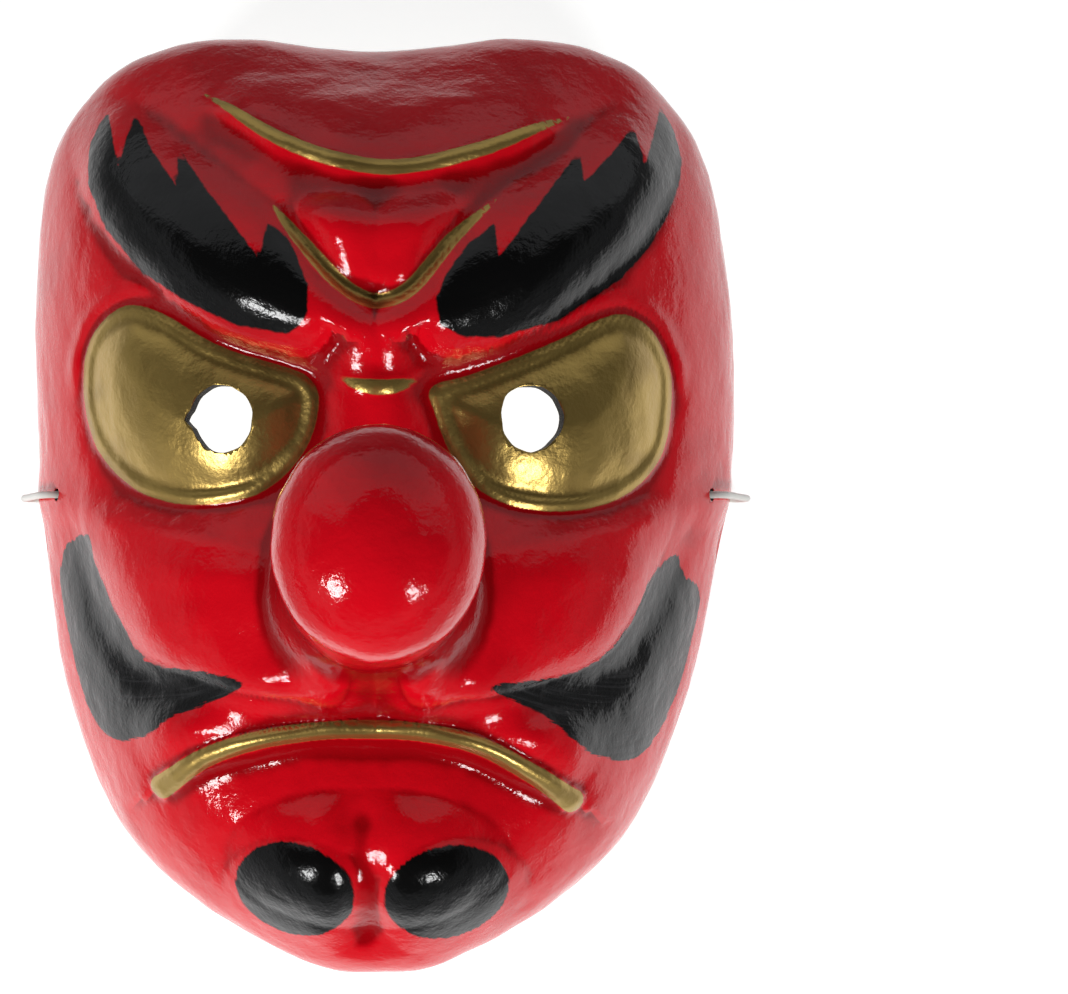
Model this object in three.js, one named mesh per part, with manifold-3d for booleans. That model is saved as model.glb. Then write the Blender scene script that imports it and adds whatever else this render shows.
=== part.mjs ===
import * as THREE from "three";
import { mergeVertices } from "three/addons/utils/BufferGeometryUtils.js";
import Module from "manifold-3d";

// A tengu mask of moulded paper, lying on its rim with the long nose up, in millimetres.
// X runs across the face, Y from chin to crown, Z from the rim up to the tip of the nose.
// The face is worked out about the nose: X = 0 is the line between the eyes.

const wasm = await Module();
wasm.setup();

// Shell: wall, dome and rim
const WALL = 2.8;
const DOME_HEIGHT = 74;
const AXIS_X = -2.5;
const AXIS_Y = 1;
const HALF_RIM = [
  [0, 116.4], [35, 119], [56.5, 116.6], [73, 108.8], [88, 91.4], [96.5, 59.3], [98.5, 21],
  [93.9, -18.8], [86.9, -52.8], [71.3, -85.4], [48, -105.1], [18.6, -118.3], [0, -120.8],
];
const RIM_LEAN = { out: 2.6, y: 25, spread: 55 };
const RIM_RISE = { crown: 42.8, crownY: 118, crownPower: 2.3, chin: 36.8, chinY: 120, chinPower: 3.6 };
const RIM_GROUND = 1.2;
const RIM_DENT = { y: 4, height: 4, spread: 6.5 };
const RIM_FADE = 0.82;
const DOME_FULLNESS = { side: 0.8, crown: 0.5, chin: 0.6, power: 2.2, uprightPower: 0.4 };

// Nose: a hollow shaft that bends towards the crown and ends in a ball
const NOSE_Y = -19;
const NOSE_TIP = 185;
const NOSE_BALL = 18.8;
const NOSE_ROOT = { z: 95, radius: 20.3, flare: 26.5, power: 2.2 };
const NOSE_SHAFT = [
  { z: 95, x: 0, y: -19.3, rx: 20.3, ry: 20.3 }, { z: 110, x: 0.2, y: -19.5, rx: 18, ry: 18 },
  { z: 133.6, x: 0.5, y: -18.6, rx: 16.6, ry: 16.6 }, { z: 146, x: 0.8, y: -16.8, rx: 17.4, ry: 18.6 },
  { z: 157, x: 1.1, y: -14.4, rx: 18.5, ry: 20.2 }, { z: 166.2, x: 1.15, y: -13.1, rx: 18.9, ry: 20.7 },
];

// Carved features of the face; paired ones are given for the right side
const FOREHEAD = { y: 68, reach: 35, halfWidth: 50, height: 14.5 };
const FOREHEAD_LINE = [[-42, 99.2], [-20, 82.6], [2, 75.8], [24, 81], [47.5, 93]];
const FOREHEAD_ROLL = { height: 2.4, reach: 16, foot: 3.5, valley: 1.2, valleyAt: 7, valleyWidth: 5 };
const FOREHEAD_BEAD = { height: 0.9, width: 1.5, fade: 0.12 };
const FROWN_LINE = [[-24, 68], [-16.8, 58.4], [-7.5, 48], [0, 44.5], [8, 47], [18, 59.3], [28, 69]];
const FROWN_HEART = { height: 4.5, wall: 4.5, crest: 58, top: 76, groove: 1.6, grooveWidth: 3.5, fade: 0.15 };
const FROWN_LOBE = { x: 9, y: 63, rx: 10, ry: 16, turn: -14, height: 1.5, power: 1.3 };
const BROW_LINE = [[17, 41.5], [33, 50], [52, 66], [66, 84], [73, 102]];
const BROW = { height: 9, taper: 4, belly: 0.36, bellyReach: 0.66 };
const BROW_REACH = { least: 0.6, under: 11, underPower: 0.8, over: 20, overPower: 1.3 };
const EYE_EDGE = [
  [60, 45.5], [71, 39], [74.5, 26], [67, 9], [43, -1], [23.5, 6], [15, 22], [21, 28.5], [43, 36.5],
];
const EYE = { socket: 2.5, bulge: 8, roundness: 8, rim: 2, rimWidth: 2.6 };
const EYELID = { distance: 5, width: 2.6, height: 1.8, low: 26, high: 36, socketReach: 6 };
const EYE_HOLE = { x: 36.5, y: 19, diameter: 15.5, tilt: 18, depth: 34 };
const BRIDGE = { width: 12, height: 7.5, foot: -10, full: 10, fading: 38, end: 54 };
const BRIDGE_ROLL = { x: 0, y: 35.5, length: 13, width: 5.5, height: 2.6 };
const CHEEK_EDGE = [
  [8, 6], [45, 6], [76, 2], [72.5, -16], [60, -36], [42, -43.5], [22, -47], [6, -44],
];
const CHEEK = { height: 9, roundness: 7, top: 6, full: -20 };
const CHEEK_FOLD = { depth: 2.2, distance: 5, width: 5, edge: 2 };
const MOUTH_LINE = [[-54, -71], [-40, -61.5], [-22, -56], [1, -54.3], [22, -57.5], [38, -66], [49, -74]];
const MOUTH_ROLL = { height: 4.6, width: 6, foot: 3, endShare: 0.35 };
const MOUTH_HOLLOW = { depth: 6, wall: 4, reach: 15 };
const MOUTH_BEAD = { height: 2.4, width: 3 };
const MOUTH_ENDS = { beyond: 0.02, fade: 0.12 };
const LOWER_LIP = { x: -1, y: -86, rx: 36, ry: 17, turn: 0, height: 6, power: 1.3 };
const CHIN_FURROW = { x: -3.5, width: 5.5, depth: 3.6, top: -68, full: -78, fading: -104, end: -120 };
const CHIN_KNOB = { x: 19, y: -98, rx: 20, ry: 17, turn: 0, height: 4.6, power: 0.95 };

// White elastic that holds the mask on: it comes out of a hole in each side, goes round a dent in the
// rim and lies across the open back, with a knot inside the wall at either end
const ELASTIC_DIAMETER = 2;
const ELASTIC_STEPS = 76;
const ELASTIC_HOLE = { diameter: 3.4, depth: 9 };
const ELASTIC_HOLES = [
  { x: -88.3, y: 5, z: 24, outward: [-0.887, 0, 0.462] }, { x: 87.4, y: 5, z: 24, outward: [0.88, 0, 0.475] },
];
const KNOT = { diameter: 5.2, behind: 5.3 };
const ELASTIC_ROUTE = [
  [-86.2, 5, 22.9], [-87.6, 5, 23.6], [-89.7, 5, 24.1], [-91.8, 5, 23.4], [-93.3, 5, 21.8], [-97, 5, 14.6],
  [-100.7, 5, 7.3], [-101.1, 5, 5.3], [-100.5, 5, 3.2], [-99, 5, 1.7], [-96.9, 5, 1.2], [-90, 4.6, 1.2],
  [-75, 1, 1.2], [-57, -9, 1.2], [-38, -20, 1.2], [-18, -28, 1.2], [3, -31, 1.2], [24, -28, 1.2],
  [43, -20, 1.2], [60, -9, 1.2], [76, 1, 1.2], [90, 4.6, 1.2], [96.9, 5, 1.2], [98.9, 5, 1.7],
  [100.5, 5, 3.2], [101.1, 5, 5.3], [100.6, 5, 7.4], [96.5, 5, 14.7], [92.3, 5, 21.9], [90.8, 5, 23.5],
  [88.8, 5, 24.1], [86.6, 5, 23.6], [85.2, 5, 22.9],
];

// Fineness of the shell: columns around the nose, rows from tip to rim and back inside
const COLUMNS = 76;
const OUTER_ROWS = { ball: 3, shaft: 5, face: 27 };
const INNER_ROWS = { ball: 1, shaft: 3, face: 11 };
const CURVE_STEPS = 10;
const RIM_STEPS = 30;
const NOSE_STEPS = 60;
const FACE_CROWDING = 1.5;
const LINING_STEP = 0.05;
const HOLE_SIDES = 18;
const CORD_SIDES = 8;

const { abs, exp, max, min, cos, sin, sqrt, PI } = Math;

function ease(from, to, value) {
  const t = min(max((value - from) / (to - from), 0), 1);
  return t * t * (3 - 2 * t);
}

function bell(value, middle, width) {
  return exp(-(((value - middle) / width) ** 2));
}

function mound(x, y, { x: cx, y: cy, rx, ry, turn, height, power }) {
  const angle = THREE.MathUtils.degToRad(turn);
  const along = ((x - cx) * cos(angle) + (y - cy) * sin(angle)) / rx;
  const across = ((y - cy) * cos(angle) - (x - cx) * sin(angle)) / ry;
  return height * max(1 - along * along - across * across, 0) ** power;
}

// Fades a feature out over the two ends of its curve
function fadeEnds(along, fade, beyond = 0) {
  return ease(-beyond, fade, along) * ease(1 + beyond, 1 - fade, along);
}

function drawCurve(points, closed, steps) {
  const knots = points.map(([x, y]) => new THREE.Vector3(x, y, 0));
  const spans = closed ? knots.length : knots.length - 1;
  return new THREE.CatmullRomCurve3(knots, closed, "catmullrom", 0.5).getPoints(spans * steps);
}

// Distance from a place on the face to a drawn curve, the side of it (1 is left of its run)
// and the share of the curve that lies before the nearest point
function nearest(x, y, curve) {
  const found = { distance: Infinity, side: 0, along: 0 };
  const spans = curve.length - 1;
  for (let i = 0; i < spans; i += 1) {
    const from = curve[i];
    const runX = curve[i + 1].x - from.x;
    const runY = curve[i + 1].y - from.y;
    const share = ((x - from.x) * runX + (y - from.y) * runY) / (runX * runX + runY * runY);
    const t = min(max(share, 0), 1);
    const offX = x - from.x - t * runX;
    const offY = y - from.y - t * runY;
    const distance = Math.hypot(offX, offY);
    if (distance < found.distance) {
      found.distance = distance;
      found.side = runX * offY > runY * offX ? 1 : -1;
      found.along = (i + t) / spans;
    }
  }
  return found;
}

const foreheadLine = drawCurve(FOREHEAD_LINE, false, CURVE_STEPS);
const frownLine = drawCurve(FROWN_LINE, false, CURVE_STEPS);
const browLine = drawCurve(BROW_LINE, false, CURVE_STEPS);
const eyeEdge = drawCurve(EYE_EDGE, true, CURVE_STEPS);
const cheekEdge = drawCurve(CHEEK_EDGE, true, CURVE_STEPS);
const mouthLine = drawCurve(MOUTH_LINE, false, CURVE_STEPS);

// Rim: its outline about the nose, and how it lifts off the ground at crown and chin
function rimOutline() {
  const left = HALF_RIM.slice(1, -1).reverse().map(([x, y]) => [-x, y]);
  const leaning = [...HALF_RIM, ...left].map(([x, y]) => {
    const lean = RIM_LEAN.out * bell(y, RIM_LEAN.y, RIM_LEAN.spread);
    return [x + lean, y];
  });
  return drawCurve(leaning, true, RIM_STEPS);
}

const rim = rimOutline();

function rimRadius(angle) {
  const dirX = cos(angle);
  const dirY = sin(angle);
  for (let i = 0; i < rim.length - 1; i += 1) {
    const ax = rim[i].x;
    const ay = rim[i].y - NOSE_Y;
    const bx = rim[i + 1].x;
    const by = rim[i + 1].y - NOSE_Y;
    const sideA = dirX * ay - dirY * ax;
    const sideB = dirX * by - dirY * bx;
    const ahead = dirX * (ax + bx) + dirY * (ay + by) > 0;
    if (ahead && sideA * sideB <= 0 && sideA !== sideB) {
      const t = sideA / (sideA - sideB);
      return Math.hypot(ax + (bx - ax) * t, ay + (by - ay) * t);
    }
  }
  return 0;
}

function rimHeight(y) {
  const { crown, crownY, crownPower, chin, chinY, chinPower } = RIM_RISE;
  const up = crown * (max(y, 0) / crownY) ** crownPower;
  const down = chin * (max(-y, 0) / chinY) ** chinPower;
  return max(up + down - RIM_GROUND, 0) + RIM_DENT.height * bell(y, RIM_DENT.y, RIM_DENT.spread);
}

// The plain dome under the carving
function dome(angle, radius) {
  const edge = rimRadius(angle);
  const upright = sin(angle) ** 2;
  const end = sin(angle) > 0 ? DOME_FULLNESS.crown : DOME_FULLNESS.chin;
  const fullness = DOME_FULLNESS.side * (1 - upright) + end * upright;
  const power = DOME_FULLNESS.power + DOME_FULLNESS.uprightPower * upright;
  const share = min(radius / edge, 1);
  const foot = rimHeight(NOSE_Y + edge * sin(angle));
  const height = foot + (DOME_HEIGHT - foot) * (1 - share ** power) ** fullness;
  return { height, share };
}

function foreheadRelief(x, y, bead) {
  const { distance: d, side, along } = nearest(x, y, foreheadLine);
  const { height, reach, foot, valley, valleyAt, valleyWidth } = FOREHEAD_ROLL;
  const above = height * bell(d, 0, reach);
  const below = height * bell(d, 0, foot) - valley * bell(d, valleyAt, valleyWidth);
  const line = bead * FOREHEAD_BEAD.height * bell(d, 0, FOREHEAD_BEAD.width);
  const swell = FOREHEAD.height * bell(y, FOREHEAD.y, FOREHEAD.reach) * bell(x, 0, FOREHEAD.halfWidth);
  return swell + fadeEnds(along, FOREHEAD_BEAD.fade) * ((side > 0 ? above : below) + line);
}

function frownRelief(x, y) {
  const { distance: d, side, along } = nearest(x, y, frownLine);
  const { height, wall, crest, top, groove, grooveWidth, fade } = FROWN_HEART;
  const heart = side > 0 ? height * (1 - bell(d, 0, wall)) * ease(top, crest, y) : 0;
  return mound(abs(x), y, FROWN_LOBE) + fadeEnds(along, fade) * (heart - groove * bell(d, 0, grooveWidth));
}

function browRelief(x, y) {
  const { distance: d, side, along } = nearest(x, y, browLine);
  const { least, under, underPower, over, overPower } = BROW_REACH;
  const belly = sqrt(max(1 - ((along - BROW.belly) / BROW.bellyReach) ** 2, 0));
  const reach = least + (side < 0 ? under : over) * belly;
  const section = max(1 - (d / reach) ** 2, 0) ** (side < 0 ? underPower : overPower);
  return (BROW.height - BROW.taper * along) * sqrt(belly) * section;
}

function eyeRelief(x, y, bead) {
  const { distance: d, side } = nearest(x, y, eyeEdge);
  const rimBead = bead * EYE.rim * bell(d, 0, EYE.rimWidth);
  if (side < 0) {
    return rimBead - EYE.socket + EYE.bulge * (1 - exp(-d / EYE.roundness));
  }
  const lid = EYELID.height * bell(d, EYELID.distance, EYELID.width) * ease(EYELID.low, EYELID.high, y);
  return rimBead + lid - EYE.socket * bell(d, 0, EYELID.socketReach);
}

function bridgeRelief(x, y) {
  const length = ease(BRIDGE.foot, BRIDGE.full, y) * ease(BRIDGE.end, BRIDGE.fading, y);
  const roll = bell(y, BRIDGE_ROLL.y, BRIDGE_ROLL.width) * bell(x, BRIDGE_ROLL.x, BRIDGE_ROLL.length);
  return BRIDGE.height * bell(x, 0, BRIDGE.width) * length + BRIDGE_ROLL.height * roll;
}

function cheekRelief(x, y) {
  const { distance: d, side } = nearest(x, y, cheekEdge);
  const swell = CHEEK.height * (1 - exp(-d / CHEEK.roundness));
  const { depth, distance, width, edge } = CHEEK_FOLD;
  const fold = depth * bell(d, distance, width) * (1 - exp(-d / edge));
  return ease(CHEEK.top, CHEEK.full, y) * (side < 0 ? swell : -fold);
}

function mouthRelief(x, y, bead) {
  const { distance: d, side, along } = nearest(x, y, mouthLine);
  const { height, width, foot, endShare } = MOUTH_ROLL;
  const ends = fadeEnds(along, MOUTH_ENDS.fade, MOUTH_ENDS.beyond);
  const roll = height * (side > 0 ? bell(d, width, width) : bell(0, width, width) * bell(d, 0, foot));
  const wall = 1 - bell(d, 0, MOUTH_HOLLOW.wall);
  const hollow = side > 0 ? 0 : MOUTH_HOLLOW.depth * wall * bell(d, 0, MOUTH_HOLLOW.reach);
  const line = bead * MOUTH_BEAD.height * bell(d, 0, MOUTH_BEAD.width);
  return roll * (endShare + (1 - endShare) * ends) - hollow * ends + line;
}

function chinRelief(x, y) {
  const { x: middle, width, depth, top, full, fading, end } = CHIN_FURROW;
  const furrow = depth * bell(x, middle, width) * ease(top, full, y) * ease(end, fading, y);
  return mound(x, y, LOWER_LIP) + mound(abs(x), y, CHIN_KNOB) - furrow;
}

// Height of the face over the ground; bead is 1 outside and 0 for the smoother inside
function faceHeight(angle, radius, bead) {
  const x = radius * cos(angle);
  const y = NOSE_Y + radius * sin(angle);
  const { height, share } = dome(angle, radius);
  const carving =
    foreheadRelief(x, y, bead) + frownRelief(x, y) + browRelief(abs(x), y) + eyeRelief(abs(x), y, bead) +
    bridgeRelief(x, y) + cheekRelief(abs(x), y) + mouthRelief(x, y, bead) + chinRelief(x, y);
  return height + ease(1, RIM_FADE, share) * carving;
}

// Middle and half widths of the nose at a height, read from smooth curves through its rings
const noseMiddles = new THREE.CatmullRomCurve3(
  NOSE_SHAFT.map(({ z, x, y }) => new THREE.Vector3(x, y, z)), false, "catmullrom", 0.5,
).getPoints(NOSE_STEPS);
const noseWidths = new THREE.CatmullRomCurve3(
  NOSE_SHAFT.map(({ z, rx, ry }) => new THREE.Vector3(rx, ry, z)), false, "catmullrom", 0.5,
).getPoints(NOSE_STEPS);

function readAt(curve, z) {
  const level = min(max(z, curve[0].z), curve.at(-1).z);
  const top = curve.findIndex((point, index) => index > 0 && level <= point.z);
  const low = curve[top - 1];
  const high = curve[top];
  return low.clone().lerp(high, (level - low.z) / (high.z - low.z));
}

function nosePoint(angle, z, share) {
  const middle = readAt(noseMiddles, z);
  const width = readAt(noseWidths, z);
  return new THREE.Vector3(middle.x + share * width.x * cos(angle), middle.y + share * width.y * sin(angle), z);
}

// A point of the outer skin. Travel 0 to 1 is the ball of the nose, 1 to 2 its shaft, 2 to 3 the face.
function skin(angle, travel, bead) {
  const equator = NOSE_TIP - NOSE_BALL;
  if (travel < 1) {
    const turn = (travel * PI) / 2;
    return nosePoint(angle, equator + NOSE_BALL * cos(turn), sin(turn));
  }
  if (travel < 2) {
    return nosePoint(angle, equator + (NOSE_ROOT.z - equator) * (travel - 1), 1);
  }
  const share = 1 - max(3 - travel, 0) ** FACE_CROWDING;
  const radius = NOSE_ROOT.radius + (rimRadius(angle) - NOSE_ROOT.radius) * share;
  const reach = max((NOSE_ROOT.flare - radius) / (NOSE_ROOT.flare - NOSE_ROOT.radius), 0) ** NOSE_ROOT.power;
  const flare = (NOSE_ROOT.z - faceHeight(angle, NOSE_ROOT.radius, bead)) * min(reach, 1);
  const z = faceHeight(angle, radius, bead) + flare;
  return new THREE.Vector3(radius * cos(angle), NOSE_Y + radius * sin(angle), z);
}

// A point of the inner skin, one wall behind the outer one; at the rim it lies level with it
function lining(angle, travel) {
  const step = LINING_STEP;
  const here = skin(angle, travel, 0);
  if (travel === 0) {
    return here.setZ(here.z - WALL);
  }
  if (travel === 3) {
    const inward = new THREE.Vector3(-cos(angle), -sin(angle), 0);
    return here.addScaledVector(inward, WALL);
  }
  const around = skin(angle + step, travel, 0).sub(skin(angle - step, travel, 0));
  const down = skin(angle, min(travel + step, 3), 0).sub(skin(angle, travel - step, 0));
  const outward = down.cross(around).normalize();
  return here.addScaledVector(outward, -WALL);
}

function travels({ ball, shaft, face }) {
  const stops = [0];
  [ball, shaft, face].forEach((rows, stretch) => {
    for (let row = 1; row <= rows; row += 1) {
      stops.push(stretch + row / rows);
    }
  });
  return stops;
}

function toSolid(geometry) {
  const bare = geometry.clone();
  bare.deleteAttribute("normal");
  bare.deleteAttribute("uv");
  const merged = mergeVertices(bare, 1e-4);
  return new wasm.Manifold(
    new wasm.Mesh({
      numProp: 3,
      vertProperties: new Float32Array(merged.attributes.position.array),
      triVerts: new Uint32Array(merged.index.array),
    }),
  );
}

function toGeometry(solid) {
  const { vertProperties, triVerts } = solid.getMesh();
  const geometry = new THREE.BufferGeometry();
  geometry.setAttribute("position", new THREE.BufferAttribute(vertProperties, 3));
  geometry.setIndex(new THREE.BufferAttribute(triVerts, 1));
  geometry.computeVertexNormals();
  return geometry;
}

// The closed shell: a sphere's grid whose upper rows become the outer skin and whose lower rows the
// lining, with each four-sided facet split along the diagonal that lies nearer the true skin
function shellGeometry() {
  const outer = travels(OUTER_ROWS);
  const inner = travels(INNER_ROWS).reverse();
  const rows = outer.length + inner.length - 1;
  const grid = new THREE.SphereGeometry(1, COLUMNS, rows);
  const place = grid.attributes.position;
  const columnAngle = (column) => ((column % COLUMNS) / COLUMNS) * 2 * PI;
  const pointAt = (angle, row) => {
    const whole = Math.floor(row);
    const part = row - whole;
    const stops = whole < outer.length ? outer : inner;
    const first = whole < outer.length ? whole : whole - outer.length;
    const travel = stops[first] + (part > 0 ? part * (stops[first + 1] - stops[first]) : 0);
    return whole < outer.length ? skin(angle, travel, 1) : lining(angle, travel);
  };
  const corners = [];
  for (let row = 0; row <= rows; row += 1) {
    for (let column = 0; column <= COLUMNS; column += 1) {
      const point = pointAt(columnAngle(column), row);
      place.setXYZ(corners.length, point.x, point.y, point.z);
      corners.push(point);
    }
  }
  const facets = [];
  for (let row = 0; row < rows; row += 1) {
    for (let column = 0; column < COLUMNS; column += 1) {
      const b = row * (COLUMNS + 1) + column;
      const [a, c, d] = [b + 1, b + COLUMNS + 1, b + COLUMNS + 2];
      if (row === 0) {
        facets.push(b, c, d);
      } else if (row === rows - 1) {
        facets.push(a, b, d);
      } else {
        const onRim = row === outer.length - 1;
        const centre = onRim ? corners[a] : pointAt(columnAngle(column) + PI / COLUMNS, row + 0.5);
        const falling = corners[b].clone().lerp(corners[d], 0.5).distanceTo(centre);
        const rising = corners[a].clone().lerp(corners[c], 0.5).distanceTo(centre);
        facets.push(...(falling < rising ? [a, b, d, b, c, d] : [a, b, c, a, c, d]));
      }
    }
  }
  grid.setIndex(facets);
  return grid;
}

function holeCutter(diameter, depth, point, outward) {
  const cutter = new THREE.CylinderGeometry(diameter / 2, diameter / 2, depth, HOLE_SIDES);
  const turn = new THREE.Quaternion().setFromUnitVectors(new THREE.Vector3(0, 1, 0), outward);
  cutter.applyQuaternion(turn);
  cutter.translate(point.x, point.y, point.z);
  return toSolid(cutter);
}

function eyeHole(side) {
  const angle = Math.atan2(EYE_HOLE.y - NOSE_Y, side * EYE_HOLE.x);
  const radius = Math.hypot(EYE_HOLE.x, EYE_HOLE.y - NOSE_Y);
  const point = new THREE.Vector3(side * EYE_HOLE.x, EYE_HOLE.y, faceHeight(angle, radius, 0));
  const tilt = THREE.MathUtils.degToRad(EYE_HOLE.tilt);
  const outward = new THREE.Vector3(side * sin(tilt), 0, cos(tilt));
  return holeCutter(EYE_HOLE.diameter, EYE_HOLE.depth, point, outward);
}

function elasticHole({ x, y, z, outward }) {
  const point = new THREE.Vector3(x - AXIS_X, y - AXIS_Y, z);
  const direction = new THREE.Vector3(...outward).normalize();
  return holeCutter(ELASTIC_HOLE.diameter, ELASTIC_HOLE.depth, point, direction);
}

function maskShell() {
  let solid = toSolid(shellGeometry());
  const cutters = [eyeHole(-1), eyeHole(1), ...ELASTIC_HOLES.map(elasticHole)];
  for (const cutter of cutters) {
    solid = solid.subtract(cutter);
  }
  const lacquer = new THREE.MeshStandardMaterial({ color: 0xc00d16, roughness: 0.2, metalness: 0 });
  const shell = new THREE.Mesh(toGeometry(solid), lacquer);
  shell.name = "mask_shell";
  shell.position.set(AXIS_X, AXIS_Y, 0);
  return shell;
}

const braid = new THREE.MeshStandardMaterial({ color: 0xf2f0ea, roughness: 0.8, metalness: 0 });

function elasticCord() {
  const section = new THREE.Shape();
  for (let corner = 0; corner < CORD_SIDES; corner += 1) {
    const angle = (corner / CORD_SIDES) * 2 * PI;
    const x = (ELASTIC_DIAMETER / 2) * cos(angle);
    const y = (ELASTIC_DIAMETER / 2) * sin(angle);
    if (corner === 0) {
      section.moveTo(x, y);
    } else {
      section.lineTo(x, y);
    }
  }
  section.closePath();
  const route = new THREE.CatmullRomCurve3(ELASTIC_ROUTE.map((point) => new THREE.Vector3(...point)));
  const sweep = { steps: ELASTIC_STEPS, extrudePath: route, bevelEnabled: false };
  const tube = new THREE.ExtrudeGeometry(section, sweep);
  const cord = new THREE.Mesh(tube, braid);
  cord.name = "elastic_cord";
  return cord;
}

function elasticKnot(name, { x, y, z, outward }) {
  const knot = new THREE.Mesh(new THREE.SphereGeometry(KNOT.diameter / 2, 10, 6), braid);
  const inward = new THREE.Vector3(...outward).multiplyScalar(-KNOT.behind);
  knot.position.set(x, y, z).add(inward);
  knot.name = name;
  return knot;
}

const tenguMask = new THREE.Group();
tenguMask.add(maskShell());
tenguMask.add(elasticCord());
tenguMask.add(elasticKnot("elastic_knot_left", ELASTIC_HOLES[0]));
tenguMask.add(elasticKnot("elastic_knot_right", ELASTIC_HOLES[1]));

export default tenguMask;
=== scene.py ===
# %% [markdown]
# # A tengu mask of lacquered paper
#
# The real mask is paper and paste, pressed over a mould in one piece, then painted: glossy red all
# over, black brows, whiskers and chin spots, gold eyes, mouth and frown lines. It lies on its rim here
# with the nose up, so the camera looks straight down on the face. The first cell loads the solid model
# that everything below has to fit.

import bmesh
import bpy
import numpy as np
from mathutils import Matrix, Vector, noise


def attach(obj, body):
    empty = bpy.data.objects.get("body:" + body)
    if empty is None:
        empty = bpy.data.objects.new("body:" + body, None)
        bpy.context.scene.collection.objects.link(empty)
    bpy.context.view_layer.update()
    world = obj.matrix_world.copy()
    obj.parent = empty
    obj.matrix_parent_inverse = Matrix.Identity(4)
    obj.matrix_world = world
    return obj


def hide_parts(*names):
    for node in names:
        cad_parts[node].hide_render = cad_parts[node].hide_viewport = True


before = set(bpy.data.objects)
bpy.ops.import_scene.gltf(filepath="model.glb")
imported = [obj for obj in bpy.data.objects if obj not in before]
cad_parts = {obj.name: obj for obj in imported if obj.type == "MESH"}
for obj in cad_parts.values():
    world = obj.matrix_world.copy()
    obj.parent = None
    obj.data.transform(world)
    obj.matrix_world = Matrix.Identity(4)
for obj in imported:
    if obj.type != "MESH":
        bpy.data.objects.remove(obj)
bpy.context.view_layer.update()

MM = 0.001
scene = bpy.context.scene
print("nodes:", sorted(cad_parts))

# %% [markdown]
# ## Camera
#
# A perspective camera hangs over the mask and looks straight down, with the crown of the mask towards
# the top of the picture. Near things grow in such a view: the ball of the nose is much closer to the
# lens than the rim. That growth gives the distance, and the picture's width then gives the lens. The
# mask sits left of the picture's middle, which is a lens shift and not a turn of the camera.

# %% Camera straight above the face
IMAGE_WIDTH, IMAGE_HEIGHT = 1068, 994
FOCAL_PIXELS = 1514.6
AXIS_PIXEL = (385, 585)
CAMERA_PLACE = Vector((-0.0002, -0.0192, 0.430))
SENSOR = 36.0

lens = bpy.data.cameras.new("camera")
lens.sensor_fit = "HORIZONTAL"
lens.sensor_width = SENSOR
lens.lens = FOCAL_PIXELS / IMAGE_WIDTH * SENSOR
lens.shift_x = (IMAGE_WIDTH / 2 - AXIS_PIXEL[0]) / IMAGE_WIDTH
lens.shift_y = (AXIS_PIXEL[1] - IMAGE_HEIGHT / 2) / IMAGE_WIDTH
lens.clip_start = 0.01
camera = bpy.data.objects.new("camera", lens)
camera.location = CAMERA_PLACE
scene.collection.objects.link(camera)
scene.camera = camera
print(f"camera: {lens.lens:.1f} mm lens at {CAMERA_PLACE.z * 1000:.0f} mm")

# %% [markdown]
# ## Small helpers
#
# Every finished piece goes into the scene the same way: a mesh object at the origin, smooth shaded,
# riding on the one body of this part. Materials are built from a few node types, so two short helpers
# keep the graphs readable.

# %% Helpers for pieces and materials
def add_piece(name, mesh, slot, *nodes):
    """Put a finished mesh into the scene as a piece that stands for some solids of the frame."""
    piece = bpy.data.objects.new(name, mesh)
    scene.collection.objects.link(piece)
    for face in mesh.polygons:
        face.use_smooth = True
    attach(piece, "root")
    if nodes:
        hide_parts(*nodes)
    return piece


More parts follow.
